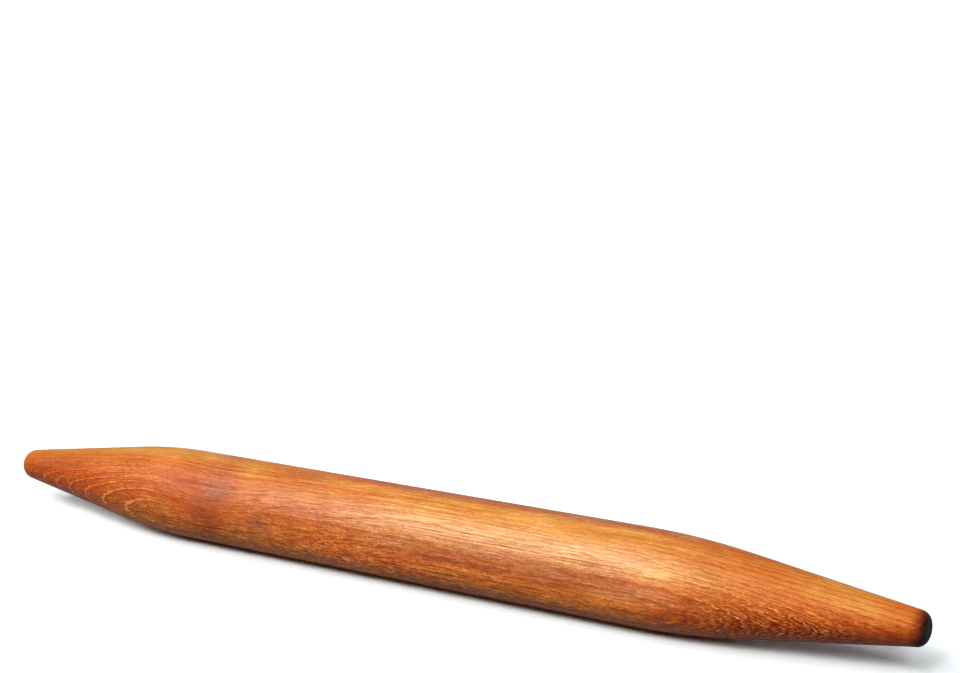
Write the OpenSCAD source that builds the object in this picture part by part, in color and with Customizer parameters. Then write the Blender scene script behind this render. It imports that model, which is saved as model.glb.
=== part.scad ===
// French rolling pin: one tapered length of turned hardwood, lying along X,
// with a thin black coat over the end at +X. Millimetres, +Z up.
// The origin is on the table, below the middle of the pin.

/* [Pin] */
// Whole length, coat included
pin_len = 508; // [440:1:540]
// Diameter of the straight barrel
barrel_d = 44.5; // [38:0.5:52]

/* [Left end, bare wood] */
// Length of the taper, from the end face to the shoulder's corner
left_taper = 99; // [70:1:140]
// Radius that blends the barrel into the taper
left_shoulder_r = 265; // [60:5:400]
// Diameter that the taper would have at the end face
left_tip_d = 14; // [12:0.1:22]
// Radius of the rounded end edge
left_edge_r = 5.8; // [2:0.1:6]

/* [Right end, coated] */
// Length of the taper, from the end face to the shoulder's corner
right_taper = 108; // [70:1:140]
// Radius that blends the barrel into the taper
right_shoulder_r = 375; // [60:5:400]
// Diameter that the taper would have at the end face
right_tip_d = 14.3; // [12:0.1:22]
// Radius of the rounded end edge
right_edge_r = 4.8; // [2:0.1:6]

/* [Coat] */
// How far the coat reaches along the pin from its end face
coat_len = 5; // [3:0.5:30]
// Thickness of the dried coat
coat_t = 0.25; // [0.1:0.05:1]

/* [Hidden] */
half_len = pin_len / 2;
barrel_r = barrel_d / 2;
around = 180;          // segments round the pin
arc_segments = 720;    // segments in a whole circle of the profile's arcs
arc_growth = 1.000005; // an arc is drawn this much larger, so that it crosses the lines it blends
arc_overrun = 0.5;     // angle by which it runs on below those lines at both ends
arc_depth = 0.5;       // depth of the band of section that it is cut from
wood = [0.76, 0.42, 0.19];
black = [0.05, 0.05, 0.06];

// Half sections are drawn with X as the radius and Y along the pin. Angles start at the radius.

function unit(angle) = [cos(angle), sin(angle)];

// Rounds a corner of the section outwards, with the arc between two angles.
module rounded_corner(centre, r, from, to) {
    mid = (from + to) / 2;
    half = (to - from) / 2 + arc_overrun;
    inner = r - arc_depth;
    outer = r + arc_depth;
    intersection() {
        translate(centre)
            circle(r * arc_growth, $fn = arc_segments);
        polygon([
            centre + inner * unit(mid - half),
            centre + outer * unit(mid - half),
            centre + outer / cos(half) * unit(mid),
            centre + outer * unit(mid + half),
            centre + inner * unit(mid + half)
        ]);
    }
}

// Half section of one half of the pin, with its end face on the radius axis:
// the barrel, the shoulder's arc, the straight taper, the edge's arc and the flat face.
// inset shrinks it by that much all the way along.
module end_section(taper, shoulder_r, tip_d, edge_r, inset = 0) {
    angle = atan2(barrel_r - tip_d / 2, taper);
    shoulder = [barrel_r - shoulder_r, -taper - shoulder_r * tan(angle / 2)];
    edge = [tip_d / 2 + edge_r * tan(angle) - edge_r / cos(angle), -edge_r];
    shoulder_arc = shoulder_r - inset;
    edge_arc = edge_r - inset;
    intersection() {
        union() {
            polygon([
                [0, -half_len],
                [barrel_r - inset, -half_len],
                shoulder + shoulder_arc * unit(0),
                shoulder + shoulder_arc * unit(angle),
                edge + edge_arc * unit(angle),
                edge + edge_arc * unit(90),
                [0, -inset]
            ]);
            rounded_corner(shoulder, shoulder_arc, 0, angle);
            rounded_corner(edge, edge_arc, angle, 90);
        }
        translate([0, -half_len])
            square([barrel_r - inset, half_len - inset]);
    }
}

module left_section() {
    mirror([0, 1])
        translate([0, half_len])
            end_section(left_taper, left_shoulder_r, left_tip_d, left_edge_r);
}

module right_section(inset = 0) {
    translate([0, half_len])
        end_section(right_taper, right_shoulder_r, right_tip_d, right_edge_r, inset);
}

// The coat's half section: the skin of the right end, from the coat's edge to the axis.
module coat_section() {
    difference() {
        intersection() {
            right_section();
            translate([0, half_len - coat_len])
                square([barrel_d, 2 * coat_len]);
        }
        right_section(coat_t);
    }
}

// Turns a half section about the pin's axis and lays it along X, on the table.
module turned() {
    translate([0, 0, barrel_r])
        rotate([0, 90, 0])
            rotate_extrude($fn = around)
                children();
}

// The turned length of wood, bare at -X and cut back under the coat at +X.
module turned_body() {
    color(wood)
        turned()
            difference() {
                union() {
                    left_section();
                    right_section();
                }
                coat_section();
            }
}

// The black coat: a skin of even thickness, flush with the wood, closed over the end face.
module end_coat() {
    color(black)
        turned()
            coat_section();
}

turned_body();
end_coat();
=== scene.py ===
import math
import bmesh
import bpy
from mathutils import Euler, Matrix, Vector


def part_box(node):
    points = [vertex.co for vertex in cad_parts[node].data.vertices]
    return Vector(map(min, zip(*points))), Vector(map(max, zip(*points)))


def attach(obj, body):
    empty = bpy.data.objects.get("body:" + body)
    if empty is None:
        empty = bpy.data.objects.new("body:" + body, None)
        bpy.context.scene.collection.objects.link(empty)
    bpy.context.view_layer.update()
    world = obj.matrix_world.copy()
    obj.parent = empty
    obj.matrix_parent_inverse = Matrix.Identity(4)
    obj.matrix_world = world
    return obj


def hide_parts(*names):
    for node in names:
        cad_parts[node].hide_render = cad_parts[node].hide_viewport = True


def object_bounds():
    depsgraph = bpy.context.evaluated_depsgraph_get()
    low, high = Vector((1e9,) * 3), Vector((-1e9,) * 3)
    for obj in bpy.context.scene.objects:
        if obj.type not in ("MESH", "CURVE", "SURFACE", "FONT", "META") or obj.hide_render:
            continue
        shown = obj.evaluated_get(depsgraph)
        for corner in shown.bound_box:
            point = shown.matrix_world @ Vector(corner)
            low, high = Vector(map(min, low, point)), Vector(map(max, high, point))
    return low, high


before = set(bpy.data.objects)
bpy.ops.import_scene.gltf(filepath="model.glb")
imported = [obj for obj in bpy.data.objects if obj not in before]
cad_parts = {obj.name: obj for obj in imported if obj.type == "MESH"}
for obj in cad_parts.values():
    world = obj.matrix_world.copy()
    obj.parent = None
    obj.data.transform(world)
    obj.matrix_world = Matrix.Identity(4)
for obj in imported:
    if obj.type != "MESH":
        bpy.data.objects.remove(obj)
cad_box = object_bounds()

# The pin's own sizes, in metres, as the solids have them
HALF_LENGTH = cad_box[1][0]
BARREL_R = (cad_box[1][2] - cad_box[0][2]) / 2
AXIS_Z = BARREL_R
COAT_EDGE_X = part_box("end_coat")[0][0]
COAT_THICK = HALF_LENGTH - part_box("turned_body")[1][0]
LEFT = {"taper": 0.099, "shoulder_r": 0.265, "tip_r": 0.007, "edge_r": 0.0058}
RIGHT = {"taper": 0.108, "shoulder_r": 0.375, "tip_r": 0.00715, "edge_r": 0.0048}

# The lathe's fineness
AROUND = 192
ARC_STEPS = 20
STATION = 0.004
WANDER = 0.00003
WANDER_REACH = 0.03
SHARP_ANGLE = math.radians(35)

# The camera
CAMERA_AT = (0.5459, -0.7131, 0.4220)
HEADING = math.radians(34.92)
PITCH = math.radians(18.77)
ROLL = math.radians(-5.80)
LENS = 77.86
SENSOR = 36.0

# The room
FLOOR_SEEN = (1.28, 1.35, 1.375, 1)
SHARE_IN_GLOSS = 0.12
FLOOR_BOUNCE = 0.24
ROOM_LIGHT = 0.01


def add_node(tree, kind, inputs=None, **settings):
    """A node with its settings, and each named input linked or set."""
    made = tree.nodes.new(kind)
    for name, value in settings.items():
        setattr(made, name, value)
    for name, value in (inputs or {}).items():
        socket = made.inputs[name]
        if isinstance(value, bpy.types.NodeSocket):
            tree.links.new(value, socket)
        else:
            socket.default_value = value
    return made


def maths(tree, operation, first, second=0.0, third=0.0, clamp=False):
    """The result of one Math node, of the kind that the tree's type takes."""
    made = add_node(tree, "ShaderNodeMath", operation=operation, use_clamp=clamp)
    for socket, value in zip(made.inputs, (first, second, third)):
        if isinstance(value, bpy.types.NodeSocket):
            tree.links.new(value, socket)
        else:
            socket.default_value = value
    return made.outputs[0]


def new_group(name, kind, inputs, outputs):
    """An empty node group with named sockets. Returns it, its input node and its output node."""
    group = bpy.data.node_groups.new(name, kind)
    for label, socket_kind, value in inputs:
        socket = group.interface.new_socket(label, in_out="INPUT", socket_type=socket_kind)
        if value is not None:
            socket.default_value = value
    for label, socket_kind in outputs:
        group.interface.new_socket(label, in_out="OUTPUT", socket_type=socket_kind)
    return group, group.nodes.new("NodeGroupInput"), group.nodes.new("NodeGroupOutput")


# The lathe, which turns an outline about the pin's axis

def lathe_tree():
    sizes = [
        ("Geometry", "NodeSocketGeometry", None),
        ("Segments Around", "NodeSocketInt", AROUND),
        ("Arc Steps", "NodeSocketInt", ARC_STEPS),
        ("Station Spacing", "NodeSocketFloat", STATION),
        ("Axis Height", "NodeSocketFloat", AXIS_Z),
        ("Hand Wander", "NodeSocketFloat", WANDER),
        ("Wander Reach", "NodeSocketFloat", WANDER_REACH),
        ("Seed", "NodeSocketFloat", 3.0),
        ("Sharp Angle", "NodeSocketFloat", SHARP_ANGLE),
        ("Material", "NodeSocketMaterial", None),
    ]
    tree, given, result = new_group("lathe", "GeometryNodeTree", sizes, [("Geometry", "NodeSocketGeometry")])
    tree.is_modifier = True
    size = given.outputs

    # The outline's corners are rounded, and its straight stretches cut into stations
    curve = add_node(tree, "GeometryNodeMeshToCurve", {"Mesh": size["Geometry"]})
    corner = add_node(tree, "GeometryNodeInputNamedAttribute", {"Name": "corner_radius"}, data_type="FLOAT")
    rounded = add_node(tree, "GeometryNodeFilletCurve", {
        "Curve": curve.outputs[0], "Radius": corner.outputs[0], "Count": size["Arc Steps"]}, mode="POLY")
    place = add_node(tree, "GeometryNodeInputPosition")
    ahead = add_node(tree, "GeometryNodeOffsetPointInCurve", {"Offset": 1})
    next_place = add_node(tree, "GeometryNodeFieldAtIndex", {
        "Index": ahead.outputs["Point Index"], "Value": place.outputs[0]}, data_type="FLOAT_VECTOR", domain="POINT")
    gap = add_node(tree, "ShaderNodeVectorMath", {0: place.outputs[0], 1: next_place.outputs[0]},
                   operation="DISTANCE")
    cuts = maths(tree, "FLOOR", maths(tree, "DIVIDE", gap.outputs["Value"], size["Station Spacing"]))
    outline = add_node(tree, "GeometryNodeSubdivideCurve", {"Curve": rounded.outputs[0], "Cuts": cuts})

    # A grid with one row for each point of the outline is wrapped round the axis
    count = add_node(tree, "GeometryNodeAttributeDomainSize", {"Geometry": outline.outputs[0]}, component="CURVE")
    columns = maths(tree, "ADD", size["Segments Around"], 1.0)
    grid = add_node(tree, "GeometryNodeMeshGrid", {
        "Vertices X": count.outputs["Point Count"], "Vertices Y": columns})
    index = add_node(tree, "GeometryNodeInputIndex")
    row = maths(tree, "FLOOR", maths(tree, "DIVIDE", index.outputs[0], columns))
    column = maths(tree, "SUBTRACT", index.outputs[0], maths(tree, "MULTIPLY", row, columns))
    on_outline = add_node(tree, "GeometryNodeSampleIndex", {
        "Geometry": outline.outputs[0], "Value": place.outputs[0], "Index": row},
        data_type="FLOAT_VECTOR", domain="POINT")
    outline_xy = add_node(tree, "ShaderNodeSeparateXYZ", {0: on_outline.outputs[0]})
    turn = maths(tree, "DIVIDE", maths(tree, "MULTIPLY", column, math.tau), size["Segments Around"])
    across = maths(tree, "MULTIPLY", outline_xy.outputs["Y"], maths(tree, "COSINE", turn))
    upward = maths(tree, "MULTIPLY", outline_xy.outputs["Y"], maths(tree, "SINE", turn))
    on_pin = add_node(tree, "ShaderNodeCombineXYZ", {
        "X": outline_xy.outputs["X"], "Y": across, "Z": maths(tree, "ADD", upward, size["Axis Height"])})
    wrapped = add_node(tree, "GeometryNodeSetPosition", {
        "Geometry": grid.outputs["Mesh"], "Position": on_pin.outputs[0]})
    merged = add_node(tree, "GeometryNodeMergeByDistance", {
        "Geometry": wrapped.outputs[0], "Distance": 0.000001})

    # The turner's hand: a slow wander of the radius that fades out towards the axis
    wander = add_node(tree, "ShaderNodeTexNoise", {
        "Vector": place.outputs[0], "W": size["Seed"],
        "Scale": maths(tree, "DIVIDE", 1.0, size["Wander Reach"]), "Detail": 1.0}, noise_dimensions="4D")
    swing = maths(tree, "MULTIPLY", wander.outputs["Fac"], -1.0)
    here = add_node(tree, "ShaderNodeSeparateXYZ", {0: place.outputs[0]})
    spoke = add_node(tree, "ShaderNodeCombineXYZ", {
        "Y": here.outputs["Y"], "Z": maths(tree, "SUBTRACT", here.outputs["Z"], size["Axis Height"])})
    share = maths(tree, "DIVIDE", maths(tree, "MULTIPLY", swing, size["Hand Wander"]), BARREL_R)
    push = add_node(tree, "ShaderNodeVectorMath", {0: spoke.outputs[0]}, operation="SCALE")
    tree.links.new(share, push.inputs["Scale"])
    turned = add_node(tree, "GeometryNodeSetPosition", {
        "Geometry": merged.outputs[0], "Offset": push.outputs[0]})

    smooth = add_node(tree, "GeometryNodeSetShadeSmooth", {"Geometry": turned.outputs[0]})
    edge_angle = add_node(tree, "GeometryNodeInputMeshEdgeAngle")
    is_sharp = add_node(tree, "FunctionNodeCompare", {
        "A": edge_angle.outputs["Unsigned Angle"], "B": size["Sharp Angle"]}, operation="GREATER_THAN")
    creased = add_node(tree, "GeometryNodeSetShadeSmooth", {
        "Geometry": smooth.outputs[0], "Selection": is_sharp.outputs[0], "Shade Smooth": False}, domain="EDGE")
    real = add_node(tree, "GeometryNodeRealizeInstances", {"Geometry": creased.outputs[0]})
    finished = add_node(tree, "GeometryNodeSetMaterial", {
        "Geometry": real.outputs[0], "Material": size["Material"]})
    tree.links.new(finished.outputs[0], result.inputs["Geometry"])
    return tree


def turn_piece(name, corners, tree, material):
    """A closed mesh turned from an outline: corners are (place along the axis, radius, corner radius)."""
    line = bpy.data.meshes.new(name + "_outline")
    line.from_pydata([(x, r, 0) for x, r, _ in corners], [(i, i + 1) for i in range(len(corners) - 1)], [])
    line.attributes.new("corner_radius", "FLOAT", "POINT").data.foreach_set("value", [c[2] for c in corners])
    piece = bpy.data.objects.new(name, line)
    bpy.context.scene.collection.objects.link(piece)
    modifier = piece.modifiers.new("lathe", "NODES")
    modifier.node_group = tree
    sockets = {s.name: s.identifier for s in tree.interface.items_tree if s.item_type == "SOCKET" and s.in_out == "INPUT"}
    modifier[sockets["Material"]] = material
    piece.update_tag()
    graph = bpy.context.evaluated_depsgraph_get()
    mesh = bpy.data.meshes.new_from_object(piece.evaluated_get(graph), depsgraph=graph)
    piece.modifiers.clear()
    work = bmesh.new()
    work.from_mesh(mesh)
    bmesh.ops.recalc_face_normals(work, faces=work.faces)
    if work.calc_volume(signed=True) < 0:
        bmesh.ops.reverse_faces(work, faces=work.faces)
    work.to_mesh(mesh)
    work.free()
    mesh.name = name
    piece.data = mesh
    return piece


def end_corners(end, sign, inset=0.0):
    """Corners of one end's outline, from its shoulder to the middle of its end face."""
    slope = math.atan2(BARREL_R - end["tip_r"], end["taper"])
    skin = inset / math.cos(slope)
    face = HALF_LENGTH - inset
    tip = end["tip_r"] - skin + inset * math.tan(slope)
    return [
        (sign * (HALF_LENGTH - end["taper"]), BARREL_R, end["shoulder_r"]),
        (sign * face, tip, end["edge_r"] - inset),
        (sign * face, 0.0, 0.0),
    ]


def taper_radius(end, x):
    """Radius of the straight taper at a place along the axis."""
    return end["tip_r"] + (HALF_LENGTH - abs(x)) * (BARREL_R - end["tip_r"]) / end["taper"]


def body_corners():
    slope = math.atan2(BARREL_R - RIGHT["tip_r"], RIGHT["taper"])
    rim = taper_radius(RIGHT, COAT_EDGE_X)
    step = rim - COAT_THICK / math.cos(slope)
    left = end_corners(LEFT, -1)[::-1]
    right = end_corners(RIGHT, 1)
    under_coat = end_corners(RIGHT, 1, COAT_THICK)
    return left + right[:1] + [(COAT_EDGE_X, rim, 0.0), (COAT_EDGE_X, step, 0.0)] + under_coat[1:]


def coat_corners():
    slope = math.atan2(BARREL_R - RIGHT["tip_r"], RIGHT["taper"])
    rim = taper_radius(RIGHT, COAT_EDGE_X)
    step = rim - COAT_THICK / math.cos(slope)
    outer = end_corners(RIGHT, 1)[1:][::-1]
    inner = end_corners(RIGHT, 1, COAT_THICK)[1:]
    return outer + [(COAT_EDGE_X, rim, 0.0), (COAT_EDGE_X, step, 0.0)] + inner


# The wood's figure, as fields through the solid wood, in millimetres from the pin's axis

RING_INPUTS = [
    ("Vector", "NodeSocketVector", None),
    ("Ring Spacing", "NodeSocketFloat", 2.06),
    ("First Ring", "NodeSocketFloat", 9.9),
    ("Unevenness", "NodeSocketFloat", 0.5),
    ("Raggedness", "NodeSocketFloat", 0.16),
    ("Teeth", "NodeSocketFloat", 1.6),
    ("Fine Spacing", "NodeSocketFloat", 0.60),
    ("Knot Pull", "NodeSocketFloat", 3.2),
    ("Lean", "NodeSocketFloat", 6.0),
]


def noise(tree, vector, detail=2.0, roughness=0.5, distortion=0.0):
    made = add_node(tree, "ShaderNodeTexNoise", {
        "Vector": vector, "Scale": 1.0, "Detail": detail, "Roughness": roughness, "Distortion": distortion})
    return made.outputs["Fac"]


def stretched(tree, vector, along, across, beside=None):
    """The place in the wood, with one unit of length along the grain and others across it."""
    return add_node(tree, "ShaderNodeMapping", {
        "Vector": vector, "Scale": (1 / along, 1 / across, 1 / (beside or across))}).outputs[0]


def fade(tree, value, low, high):
    """0 at low, 1 at high, and smooth between them."""
    made = add_node(tree, "ShaderNodeMapRange", interpolation_type="SMOOTHSTEP")
    for name, number in (("Value", value), ("From Min", low), ("From Max", high)):
        if isinstance(number, bpy.types.NodeSocket):
            tree.links.new(number, made.inputs[name])
        else:
            made.inputs[name].default_value = number
    return made.outputs["Result"]


def swing(tree, value, size):
    """A field from 0 to 1 as a swing of the given size round nothing."""
    return maths(tree, "MULTIPLY", maths(tree, "SUBTRACT", value, 0.5), size)


def product(tree, *values):
    total = values[0]
    for value in values[1:]:
        total = maths(tree, "MULTIPLY", total, value)
    return total


def total(tree, *values):
    result = values[0]
    for value in values[1:]:
        result = maths(tree, "ADD", result, value)
    return result


def mix_colour(tree, amount, first, second, blend="MIX"):
    made = add_node(tree, "ShaderNodeMix", data_type="RGBA", blend_type=blend)
    for socket, value in ((made.inputs[0], amount), (made.inputs[6], first), (made.inputs[7], second)):
        if isinstance(value, bpy.types.NodeSocket):
            tree.links.new(value, socket)
        else:
            socket.default_value = value
    return made.outputs[2]


def at_surface(along, angle, radius=22.25):
    """A place on the pin: angle goes round it, from the front horizontal upwards."""
    turned = math.radians(angle)
    return (along, -radius * math.cos(turned), radius * math.sin(turned))


def patch(tree, vector, centre, reach):
    """A soft patch round a place in the wood: 1 in its middle and 0 past its reach."""
    away = add_node(tree, "ShaderNodeMapping", {
        "Vector": vector, "Location": [-c / r for c, r in zip(centre, reach)],
        "Scale": [1 / r for r in reach]})
    length = add_node(tree, "ShaderNodeVectorMath", {0: away.outputs[0]}, operation="LENGTH")
    return fade(tree, length.outputs["Value"], 1.0, 0.0)


def stretch_of(tree, along, start, end, soft):
    """A soft-ended stretch of the pin's length."""
    return product(tree, fade(tree, along, start - soft, start + soft), fade(tree, along, end + soft, end - soft))


KNOT = at_surface(-108, 30)
CRIMPED = at_surface(191, -21, 16)
FLECKED = at_surface(-38, -10)
FAINT = at_surface(-126, 50)


def ring_group():
    """Growth rings: nearly flat sheets along the pin. A knot pulls them in, and they are ragged near one shoulder."""
    group, given, result = new_group("growth_rings", "ShaderNodeTree", RING_INPUTS, [
        ("Fibre Place", "NodeSocketVector"), ("Depth", "NodeSocketFloat"), ("Flat Cut", "NodeSocketFloat"),
        ("Ring", "NodeSocketFloat"), ("Line", "NodeSocketFloat"), ("Fine Wave", "NodeSocketFloat"),
        ("Late Wood", "NodeSocketFloat")])
    place = given.outputs["Vector"]
    size = given.outputs
    slow = swing(group, noise(group, stretched(group, place, 70, 16), 1.0), 1.0)
    middling = swing(group, noise(group, stretched(group, place, 14, 3.5), 1.0), 0.45)
    fine = swing(group, noise(group, stretched(group, place, 1.7, 0.8), 1.0), 1.0)
    teeth = swing(group, noise(group, stretched(group, place, 6.5, 1.15), 1.0), 1.0)
    xyz = add_node(group, "ShaderNodeSeparateXYZ", {0: place})
    along = xyz.outputs["X"]
    turn = maths(group, "MULTIPLY_ADD", along, -0.0002, -0.245)
    cosine = maths(group, "COSINE", turn)
    sine = maths(group, "SINE", turn)
    depth = maths(group, "SUBTRACT", product(group, xyz.outputs["Z"], sine), product(group, xyz.outputs["Y"], cosine))
    beside = total(group, product(group, xyz.outputs["Z"], cosine), product(group, xyz.outputs["Y"], sine))
    off_axis = maths(group, "SQRT", total(group, product(group, depth, depth), product(group, beside, beside), 0.01))
    flat_cut = fade(group, maths(group, "DIVIDE", depth, off_axis), 0.45, 0.97)
    crimped_near = patch(group, place, CRIMPED, (60, 22, 18))
    flecked_near = patch(group, place, FLECKED, (60, 18, 16))

    # How far each sheet is bent and torn at a place
    pull = product(group, patch(group, place, KNOT, (48, 22, 17)), size["Knot Pull"], -1.0)
    uneven = product(group, slow, size["Unevenness"])
    wavy = product(group, middling, size["Unevenness"],
                   total(group, 1.0, product(group, flecked_near, 1.6), product(group, crimped_near, 0.8)))
    torn = product(group, teeth, size["Teeth"], total(group, 0.36, product(group, fade(group, along, 130, 170), 0.5)))
    bent = total(group, depth, uneven, pull)
    jagged = total(group, bent, wavy, product(group, fine, size["Raggedness"]), torn)
    from_first = maths(group, "DIVIDE", maths(group, "SUBTRACT", jagged, size["First Ring"]), size["Ring Spacing"])
    drift = product(group, maths(group, "SINE", product(group, maths(group, "SUBTRACT", jagged, 10.7), 0.33)), 0.36)
    ring = total(group, from_first, drift)
    phase = maths(group, "FRACT", maths(group, "ADD", ring, 0.5))
    off_line = maths(group, "ABSOLUTE", maths(group, "SUBTRACT", phase, 0.5))
    width = maths(group, "MULTIPLY_ADD", flat_cut, -0.09, 0.19)
    line = fade(group, maths(group, "DIVIDE", off_line, width), 1.0, 0.0)
    between = fade(group, maths(group, "DIVIDE", maths(group, "SUBTRACT", 0.5, off_line), width), 1.0, 0.0)
    line = total(group, line, product(group, between, maths(group, "SUBTRACT", 1.0, flat_cut), 0.7))
    line = product(group, line, fade(group, jagged, 8.9, 9.6))
    late = product(group, fade(group, phase, 0.50, 0.60), fade(group, phase, 0.88, 0.60))
    turns = maths(group, "DIVIDE", jagged, size["Fine Spacing"])
    fine_wave = maths(group, "SINE", maths(group, "MULTIPLY", turns, math.tau))
    leaning = total(group, bent, product(group, fade(group, along, -95, 25), size["Lean"]))
    fibre = add_node(group, "ShaderNodeCombineXYZ", {"X": along, "Y": leaning, "Z": beside})
    for name, value in (("Fibre Place", fibre.outputs[0]), ("Depth", bent), ("Flat Cut", flat_cut), ("Ring", ring),
                        ("Line", line), ("Fine Wave", fine_wave), ("Late Wood", late)):
        group.links.new(value, result.inputs[name])
    return group


def grain_group():
    """Streaks, strokes and pores that run along the fibres."""
    group, given, result = new_group("long_grain", "ShaderNodeTree", [("Fibre Place", "NodeSocketVector", None)], [
        ("Streaks", "NodeSocketFloat"), ("Fine Streaks", "NodeSocketFloat"), ("Threads", "NodeSocketFloat"),
        ("Pores", "NodeSocketFloat"), ("Strokes", "NodeSocketFloat"), ("Grit", "NodeSocketFloat")])
    place = given.outputs["Fibre Place"]
    streaks = noise(group, stretched(group, place, 80, 2.6, 6.0), 3.0, 0.6)
    fine_streaks = noise(group, stretched(group, place, 50, 0.70, 1.2), 3.0, 0.7)
    threads = noise(group, stretched(group, place, 48, 0.45, 0.65), 1.0)
    pores = noise(group, stretched(group, place, 9.0, 0.5, 0.7), 2.0, 0.55)
    strokes = noise(group, stretched(group, place, 5.0, 0.75, 0.9), 3.0, 0.65)
    grit = noise(group, stretched(group, place, 1.3, 0.7), 1.0)
    for name, value in (("Streaks", streaks), ("Fine Streaks", fine_streaks), ("Threads", fade(group, threads, 0.60, 0.70)),
                        ("Pores", fade(group, pores, 0.56, 0.72)), ("Strokes", strokes), ("Grit", grit)):
        group.links.new(value, result.inputs[name])
    return group


def deepened(tree, colour, amount):
    """Lightens or darkens a colour as oiled wood does: red changes least and blue most."""
    factors = [maths(tree, "EXPONENT", maths(tree, "MULTIPLY", amount, share)) for share in (0.55, 1.0, 1.9)]
    tint = add_node(tree, "ShaderNodeCombineXYZ", {"X": factors[0], "Y": factors[1], "Z": factors[2]})
    return add_node(tree, "ShaderNodeVectorMath", {0: colour, 1: tint.outputs[0]}, operation="MULTIPLY").outputs[0]


WOOD_COLOURS = [
    ("Amber", "NodeSocketColor", (0.855, 0.345, 0.066, 1)),
    ("Orange", "NodeSocketColor", (0.755, 0.190, 0.030, 1)),
    ("Russet", "NodeSocketColor", (0.635, 0.106, 0.009, 1)),
    ("Plum", "NodeSocketColor", (0.505, 0.145, 0.066, 1)),
    ("Pore", "NodeSocketColor", (0.30, 0.045, 0.010, 1)),
    # Painted shade: the next two colours tint the pin's lower side, the left part and the rest, redder and less blue,
    # as shade falls there.
    ("Painted Shade Below", "NodeSocketColor", (0.96, 0.89, 0.40, 1)),
    ("Painted Shade Below Left", "NodeSocketColor", (0.94, 1.03, 0.35, 1)),
    # Painted light: the next colour brightens and reddens a band low on the front of the barrel.
    ("Painted Front Band Light", "NodeSocketColor", (1.14, 1.0, 0.95, 1)),
    ("Left Taper", "NodeSocketColor", (0.95, 1.0, 1.0, 1)),
]
# Stains round the knot: along the pin, angle round it, half length, half width, strength
STAINS = [(-107, 38, 19, 11, 1.0), (-113, 14, 14, 9, 0.85), (-109, 68, 22, 14, 0.50), (-112, 99, 16, 12, 0.50),
          (-58, 84, 20, 12, 0.50), (-78, 6, 12, 7, 0.80)]
# Paler and darker spots, described in the same way; the pale spot at 140 along and 24 round is a painted highlight
# where the sheen runs on past the right shoulder
TONE_AND_PAINTED_HIGHLIGHT_MARKS = [(-131, 78, 14, 12, -0.28), (-8, 73, 16, 9, 0.30), (75, 73, 22, 8, 0.18), (-150, -15, 26, 18, 0.20), (-142, 58, 22, 13, 0.25), (-111, -22, 17, 20, -0.55), (-45, 43, 40, 9, -0.18), (-133, 40, 15, 10, -0.16), (-88, 25, 48, 30, -0.14), (140, 24, 24, 11, 0.33),
         (122, 6, 30, 9, 0.22)]


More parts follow.
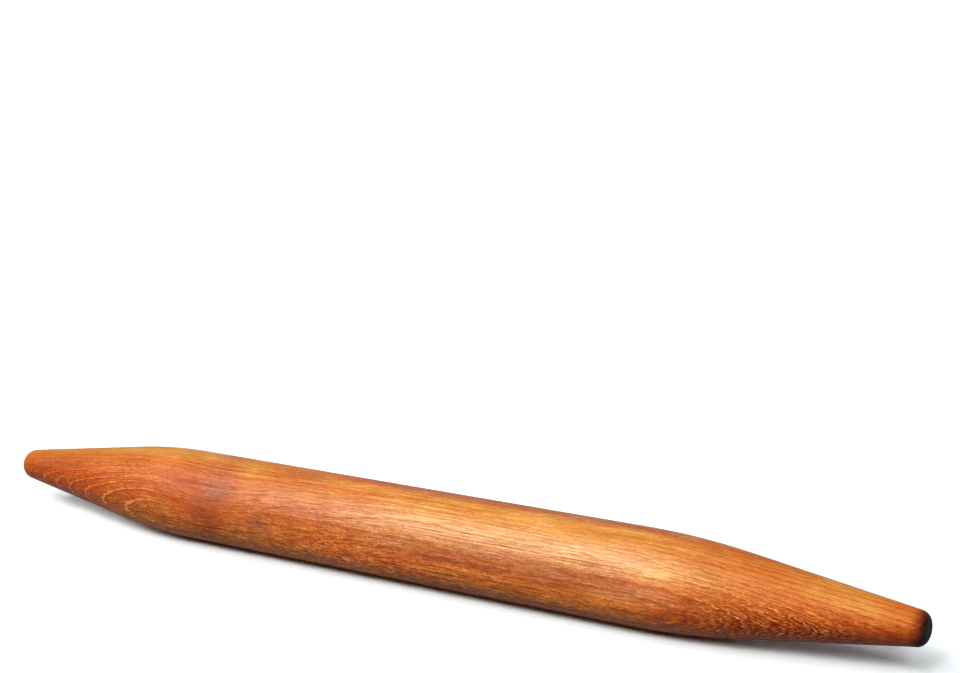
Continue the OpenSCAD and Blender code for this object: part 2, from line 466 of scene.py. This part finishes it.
def wood_group(rings, grain):
    """The oiled wood's colour, roughness and surface height at any place in it."""
    group, given, result = new_group("oiled_hardwood", "ShaderNodeTree",
                                     [("Vector", "NodeSocketVector", None)] + WOOD_COLOURS,
                                     [("Color", "NodeSocketColor"), ("Roughness", "NodeSocketFloat"),
                                      ("Height", "NodeSocketFloat")])
    place = given.outputs["Vector"]
    shade = given.outputs
    along = add_node(group, "ShaderNodeSeparateXYZ", {0: place}).outputs["X"]
    figure = add_node(group, "ShaderNodeGroup", {}, node_tree=rings)
    group.links.new(place, figure.inputs["Vector"])
    fibre = add_node(group, "ShaderNodeGroup", {}, node_tree=grain)
    group.links.new(figure.outputs["Fibre Place"], fibre.inputs["Fibre Place"])
    depth = figure.outputs["Depth"]
    flat_cut = figure.outputs["Flat Cut"]
    across = add_node(group, "ShaderNodeSeparateXYZ", {0: figure.outputs["Fibre Place"]}).outputs["Z"]
    crimped_near = patch(group, place, CRIMPED, (66, 24, 19))
    flecked_near = patch(group, place, FLECKED, (62, 19, 17))
    knot_near = patch(group, place, KNOT, (44, 26, 20))

    # Broad tone, from russet through orange to amber, with painted shade near the left tip, along the top edge and on
    # the lower side
    middle = stretch_of(group, along, -15, 150, 50)
    top = product(group, fade(group, depth, 12.0, 7.5), stretch_of(group, along, -85, 150, 30), 0.5)
    golden = product(group, maths(group, "MAXIMUM", product(group, fade(group, depth, 20.5, 14.5), middle), top), 0.39)
    left_end = product(group, fade(group, along, -75, -125), total(
        group, -0.06, product(group, fade(group, depth, 6.0, 12.0), -0.14),
        product(group, fade(group, along, -65, -140), fade(group, depth, 6.0, -4.0), 0.48)))
    # Painted shade: darker towards the left tip, below its top.
    tip_painted_shade = product(group, fade(group, along, -165, -215), fade(group, depth, 3.0, 9.0), -0.12)
    right_end = total(group, product(group, fade(group, along, 130, 190), flat_cut, -0.17),
                      product(group, stretch_of(group, along, 155, 205, 20), fade(group, depth, 15.0, 12.0),
                              fade(group, depth, 4.0, 8.0), 0.14),
                      product(group, fade(group, along, 175, 215), fade(group, along, 249, 230),
                              fade(group, depth, 9.0, 5.0), 0.30))
    top_patch = product(group, patch(group, place, at_surface(-91, 84), (17, 15, 15)), 0.24)
    # Painted shade: darker along the top edge of the barrel.
    top_edge_painted_shade = product(group, stretch_of(group, along, -45, 70, 15), fade(group, depth, -3.0, -7.0), -0.25)
    # Painted shade: darker on the lower side of the barrel.
    lower_side_painted_shade = product(group, stretch_of(group, along, 10, 130, 30), fade(group, across, 6.0, -3.0), -0.16)
    cloud = noise(group, stretched(group, figure.outputs["Fibre Place"], 26, 7), 2.0)
    tone = total(group, 0.42, golden, left_end, tip_painted_shade, right_end, lower_side_painted_shade, top_patch, top_edge_painted_shade,
                 swing(group, cloud, 0.45),
                 product(group, swing(group, fibre.outputs["Streaks"], 0.70),
                         maths(group, "MULTIPLY_ADD", fade(group, along, 130, 180), -0.45, 1.0)))
    warm = mix_colour(group, fade(group, tone, 0.40, 0.85), shade["Orange"], shade["Amber"])
    deep = mix_colour(group, fade(group, tone, 0.42, 0.10), warm, shade["Russet"])

    # The purple stripe, the bright one below it, the dark band along the top edge, which is partly painted shade and
    # partly darker wood, and the stains round the knot
    stripe = product(group, stretch_of(group, along, -5, 140, 35), fade(group, depth, 16.0, 19.0),
                     fade(group, depth, 21.9, 20.4),
                     total(group, 0.46, swing(group, fibre.outputs["Fine Streaks"], 1.6)))
    streaky = total(group, swing(group, fibre.outputs["Fine Streaks"], 9.0), swing(group, fibre.outputs["Strokes"], 9.0))
    dark = product(group, stretch_of(group, along, -45, 150, 25),
                   fade(group, maths(group, "ADD", depth, streaky), -3.0, -10.0), 0.75)
    dark = maths(group, "MAXIMUM", dark, stripe)
    mottled = fade(group, cloud, 0.18, 0.52)
    for at, angle, long, wide, strength in STAINS:
        spot = product(group, patch(group, place, at_surface(at, angle), (long, wide, wide)), mottled, strength)
        dark = maths(group, "MAXIMUM", dark, spot)
    bright = product(group, stretch_of(group, along, 15, 135, 20), fade(group, depth, 21.2, 22.0), 0.35)
    stained = mix_colour(group, dark, mix_colour(group, bright, deep, shade["Amber"]), shade["Plum"])

    # Lines, strokes and streaks, which stand out more where the cut runs flat to the rings
    lively = maths(group, "MAXIMUM", crimped_near, flecked_near)
    left_taper = fade(group, along, -125, -170)
    low = fade(group, across, 8.0, -6.0)
    right_side = product(group, fade(group, along, 140, 190), maths(group, "SUBTRACT", 1.0, flat_cut))
    contrast = total(group, 0.95, product(group, flat_cut, maths(
        group, "MULTIPLY_ADD", stretch_of(group, along, -70, 60, 20), 0.30, 0.50)), product(group, lively, 0.60),
                     product(group, low, maths(group, "MULTIPLY_ADD", fade(group, along, 90, 50), 0.4, 1.1)),
                     product(group, left_taper, fade(group, depth, 7.0, 3.0), -0.75),
                     product(group, right_side, -0.35), product(group, knot_near, -0.15))
    faint = maths(group, "MULTIPLY_ADD", patch(group, place, FAINT, (42, 24, 24)), -0.75, 1.0)
    ring_line = product(group, figure.outputs["Line"], faint, total(
        group, 0.22, product(group, left_taper, maths(group, "MULTIPLY_ADD", flat_cut, 0.45, 0.45)), product(group, fade(group, along, 140, 180), 0.14)))
    late = product(group, figure.outputs["Late Wood"], total(
        group, -0.28, product(group, fade(group, along, 140, 180), -0.28)))
    waved = product(group, figure.outputs["Fine Wave"], total(
        group, 0.05, product(group, left_taper, 0.04), product(group, crimped_near, total(
            group, 0.68, product(group, low, 0.70), product(group, fade(group, along, 185, 215), 0.30)))))
    strokes = product(group, swing(group, fibre.outputs["Strokes"], 1.5), contrast,
                      maths(group, "MULTIPLY_ADD", crimped_near, -0.3, 1.0))
    streaks = product(group, swing(group, fibre.outputs["Fine Streaks"], 2.3),
                      total(group, 1.0, product(group, left_taper, -0.50), product(group, knot_near, -0.25),
                            product(group, right_side, -0.58),
                            product(group, stretch_of(group, along, -20, 60, 20), 0.30)))
    left_below = product(group, left_taper, fade(group, depth, 3.0, 7.0))
    grit = product(group, swing(group, fibre.outputs["Grit"], 0.85),
                   total(group, contrast, product(group, left_below, 0.8)))
    # Painted shade: darker under the lifted right taper, under the left taper, over the left end and the left tip, and
    # a very slight lightening of the lower side. Painted sheen: paler on the left end's rounded edge. Also a darker
    # band from -70 to 135 along, and the spots.
    painted_shade_sheen_and_spots = total(group, product(group, fade(group, along, 110, 215), fade(group, across, 7.0, -3.0), -1.10),
                   product(group, fade(group, along, -150, -200), fade(group, across, 5.0, -5.0), -0.20),
                   product(group, fade(group, along, -170, -225), fade(group, depth, 7.0, 3.0), -0.14),
                   product(group, fade(group, along, -180, -225), fade(group, depth, 1.0, 5.0), -0.16),
                   product(group, left_taper, -0.10), product(group, fade(group, along, -170, -215), -0.05), product(group, low, 0.02),
                   product(group, fade(group, along, -241, -251), 0.15),
                   product(group, stretch_of(group, along, -70, 135, 25), fade(group, depth, 12.5, 14.5),
                           fade(group, depth, 19.8, 18.2), -0.15))
    for at, angle, long, wide, strength in TONE_AND_PAINTED_HIGHLIGHT_MARKS:
        spot = product(group, patch(group, place, at_surface(at, angle, 21), (long, wide, wide)), strength)
        painted_shade_sheen_and_spots = maths(group, "ADD", painted_shade_sheen_and_spots, spot)
    texture = total(group, ring_line, late, waved, strokes, streaks, grit, painted_shade_sheen_and_spots)
    # Painted shade on the lower side: a redder, less blue tint. Painted light on a band low on the front: a redder,
    # brighter tint.
    painted_low_side_tint = mix_colour(group, fade(group, along, -110, -20), shade["Painted Shade Below Left"], shade["Painted Shade Below"])
    front_band_painted_light = product(group, fade(group, across, 8.5, 3.5), fade(group, across, -5.5, 0.0),
                          fade(group, along, -85, -45), fade(group, along, 180, 140))
    brightened = mix_colour(group, front_band_painted_light, stained, shade["Painted Front Band Light"], "MULTIPLY")
    brightened = mix_colour(group, left_taper, brightened, shade["Left Taper"], "MULTIPLY")
    low_side_tinted = mix_colour(group, low, brightened, painted_low_side_tint, "MULTIPLY")
    lined = deepened(group, low_side_tinted, texture)
    dark_cells = maths(group, "MAXIMUM", product(group, fibre.outputs["Pores"], contrast, 0.42),
                       product(group, fibre.outputs["Threads"], fade(group, along, -110, -60),
                               maths(group, "MULTIPLY_ADD", right_side, -0.6, 1.0), 0.48))
    pored = mix_colour(group, dark_cells, lined, shade["Pore"])

    rough = total(group, 0.27, swing(group, fibre.outputs["Fine Streaks"], -0.45),
                  product(group, maths(group, "MAXIMUM", fibre.outputs["Pores"], fibre.outputs["Threads"]), 0.3),
                  product(group, knot_near, 0.20), product(group, fade(group, along, 45, 0), 0.025),
                  product(group, fade(group, along, -115, -160), 0.06))
    height = total(group, product(group, fibre.outputs["Fine Streaks"], 1.3),
                   product(group, fibre.outputs["Strokes"], 0.6), product(group, figure.outputs["Line"], 0.2),
                   product(group, fibre.outputs["Pores"], -0.5))
    group.links.new(pored, result.inputs["Color"])
    group.links.new(rough, result.inputs["Roughness"])
    group.links.new(height, result.inputs["Height"])
    return group


def wood_in(tree, wood):
    """Places the wood in a material, in millimetres from the pin's axis."""
    coordinates = add_node(tree, "ShaderNodeTexCoord")
    centred = add_node(tree, "ShaderNodeMapping", {
        "Vector": coordinates.outputs["Object"], "Location": (0, 0, -1000 * AXIS_Z), "Scale": (1000, 1000, 1000)})
    grown = add_node(tree, "ShaderNodeGroup", {}, node_tree=wood)
    tree.links.new(centred.outputs[0], grown.inputs["Vector"])
    return centred.outputs[0], grown


def blackness(tree, place, start, end):
    """How black the end is at a place: it starts unevenly along the grain and is full past end."""
    xyz = add_node(tree, "ShaderNodeSeparateXYZ", {0: place}).outputs
    uneven = noise(tree, stretched(tree, place, 9, 1.6), 3.0, 0.6)
    below = maths(tree, "MAXIMUM", maths(tree, "MULTIPLY", xyz["Z"], -0.6), 0.0)
    return fade(tree, total(tree, xyz["X"], below, swing(tree, uneven, 3.0)), start, end)


def new_material(name):
    material = bpy.data.materials.new(name)
    material.use_nodes = True
    material.node_tree.nodes.clear()
    tree = material.node_tree
    surface = tree.nodes.new("ShaderNodeBsdfPrincipled")
    output = add_node(tree, "ShaderNodeOutputMaterial", {"Surface": surface.outputs[0]})
    return material, tree, surface, output


def bump(tree, height, distance, strength=1.0):
    return add_node(tree, "ShaderNodeBump", {"Height": height, "Distance": distance, "Strength": strength})


SCORCH = (0.17, 0.022, 0.008, 1)
BLACK = (0.006, 0.009, 0.008, 1)


def wood_material(wood):
    material, tree, surface, _ = new_material("oiled_wood")
    place, grown = wood_in(tree, wood)
    scorched = product(tree, blackness(tree, place, 247.0, 253.3), 0.9)
    colour = mix_colour(tree, scorched, grown.outputs["Color"], SCORCH)
    relief = bump(tree, grown.outputs["Height"], 0.00012, 0.8)
    tree.links.new(colour, surface.inputs["Base Color"])
    tree.links.new(grown.outputs["Roughness"], surface.inputs["Roughness"])
    tree.links.new(relief.outputs[0], surface.inputs["Normal"])
    surface.inputs["IOR"].default_value = 1.46
    surface.inputs["Specular IOR Level"].default_value = 0.3
    return material


def coat_material(wood):
    material, tree, surface, _ = new_material("black_coat")
    place, grown = wood_in(tree, wood)
    scorched = product(tree, blackness(tree, place, 247.0, 253.3), 0.9)
    thin = mix_colour(tree, scorched, grown.outputs["Color"], SCORCH)
    black = mix_colour(tree, blackness(tree, place, 251.6, 254.4), thin, BLACK)
    relief = bump(tree, grown.outputs["Height"], 0.00004, 0.5)
    tree.links.new(black, surface.inputs["Base Color"])
    tree.links.new(relief.outputs[0], surface.inputs["Normal"])
    surface.inputs["Roughness"].default_value = 0.5
    surface.inputs["IOR"].default_value = 1.4
    surface.inputs["Specular IOR Level"].default_value = 0.2
    return material


# Floor, lamps and camera

def shown(tree):
    """1 where the camera looks straight at the background, and a share of that in reflections."""
    rays = add_node(tree, "ShaderNodeLightPath").outputs
    mirrored = maths(tree, "MAXIMUM", rays["Is Glossy Ray"], rays["Is Transmission Ray"])
    return maths(tree, "MAXIMUM", rays["Is Camera Ray"], maths(tree, "MULTIPLY", mirrored, SHARE_IN_GLOSS))


def floor_plane():
    """The floor shows near white in the picture and in reflections, and throws little light back up."""
    material = bpy.data.materials.new("studio_floor")
    material.use_nodes = True
    tree = material.node_tree
    tree.nodes.clear()
    pale = add_node(tree, "ShaderNodeBsdfDiffuse", {"Color": FLOOR_SEEN})
    dim = add_node(tree, "ShaderNodeBsdfDiffuse", {"Color": (FLOOR_BOUNCE, FLOOR_BOUNCE, FLOOR_BOUNCE, 1)})
    either = add_node(tree, "ShaderNodeMixShader", {0: shown(tree), 1: dim.outputs[0], 2: pale.outputs[0]})
    add_node(tree, "ShaderNodeOutputMaterial", {"Surface": either.outputs[0]})
    reach = 30.0
    mesh = bpy.data.meshes.new("studio_floor")
    mesh.from_pydata([(-reach, -reach, 0), (reach, -reach, 0), (reach, reach, 0), (-reach, reach, 0)], [],
                     [(0, 1, 2, 3)])
    mesh.materials.append(material)
    floor = bpy.data.objects.new("studio_floor", mesh)
    bpy.context.scene.collection.objects.link(floor)


def soft_sun(name, azimuth, elevation, strength, spread, in_gloss=False):
    """A soft lamp far away. Azimuth is measured from the front, positive to the right."""
    lamp = bpy.data.lights.new(name, "SUN")
    lamp.energy = strength
    lamp.angle = math.radians(spread)
    held = bpy.data.objects.new(name, lamp)
    held.visible_glossy = in_gloss
    held.visible_diffuse = not in_gloss
    held.rotation_euler = Euler((math.radians(90 - elevation), 0, math.radians(azimuth)))
    bpy.context.scene.collection.objects.link(held)


def strip_light(side, middle, spacing, steps, strength):
    """A long soft strip that arches over the pin and brightens only the wood's sheen.

    side is how far it stands to one side, along the pin, and middle the height angle of its brightest part.
    """
    reach = math.sqrt(1 - side ** 2)
    for step in range(-steps, steps + 1):
        rise = math.radians(middle + spacing * step)
        elevation = math.degrees(math.asin(reach * math.sin(rise)))
        azimuth = math.degrees(math.atan2(side, reach * math.cos(rise)))
        share = math.exp(-2 * (step / steps) ** 2)
        soft_sun("strip %d" % step, azimuth, elevation, strength * share, 12, in_gloss=True)


def room_light():
    world = bpy.data.worlds.new("room")
    bpy.context.scene.world = world
    world.use_nodes = True
    tree = world.node_tree
    tree.nodes.clear()
    seen = add_node(tree, "ShaderNodeBackground", {"Color": (0.955, 0.955, 0.955, 1), "Strength": 1.0})
    lit = add_node(tree, "ShaderNodeBackground", {"Color": (1, 1, 1, 1), "Strength": ROOM_LIGHT})
    either = add_node(tree, "ShaderNodeMixShader", {0: shown(tree), 1: lit.outputs[0], 2: seen.outputs[0]})
    add_node(tree, "ShaderNodeOutputWorld", {"Surface": either.outputs[0]})


def camera():
    lens = bpy.data.cameras.new("camera")
    lens.sensor_width = SENSOR
    lens.lens = LENS
    lens.clip_start = 0.01
    lens.clip_end = 100.0
    held = bpy.data.objects.new("camera", lens)
    held.matrix_world = (Matrix.Translation(CAMERA_AT) @ Matrix.Rotation(HEADING, 4, "Z")
                         @ Matrix.Rotation(math.radians(90) - PITCH, 4, "X") @ Matrix.Rotation(ROLL, 4, "Z"))
    bpy.context.scene.collection.objects.link(held)
    bpy.context.scene.camera = held


camera()
floor_plane()
room_light()
soft_sun("key", -45, 47, 0.42, 14)
soft_sun("key below", -40, 42, 0.27, 14)
soft_sun("key above", -58, 54, 0.36, 16)
soft_sun("front", -3, 49, 0.86, 19)
soft_sun("high right", 23, 54, 0.30, 16)
soft_sun("right", 51, 39, 0.76, 20)
soft_sun("low left", -75, 22, 0.30, 16)
soft_sun("left rim", -97, 14, 1.36, 18)
soft_sun("back left", -141, 16, 0.45, 22)
soft_sun("overhead", 0, 84, 0.47, 20)
strip_light(-0.475, 54.7, 10, 4, 0.64)
bpy.context.scene.view_settings.view_transform = "Standard"

lathe = lathe_tree()
wood = wood_group(ring_group(), grain_group())

body = turn_piece("turned_wood", body_corners(), lathe, wood_material(wood))
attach(body, "root")
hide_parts("turned_body")

coat = turn_piece("black_tip", coat_corners(), lathe, coat_material(wood))
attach(coat, "root")
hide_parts("end_coat")
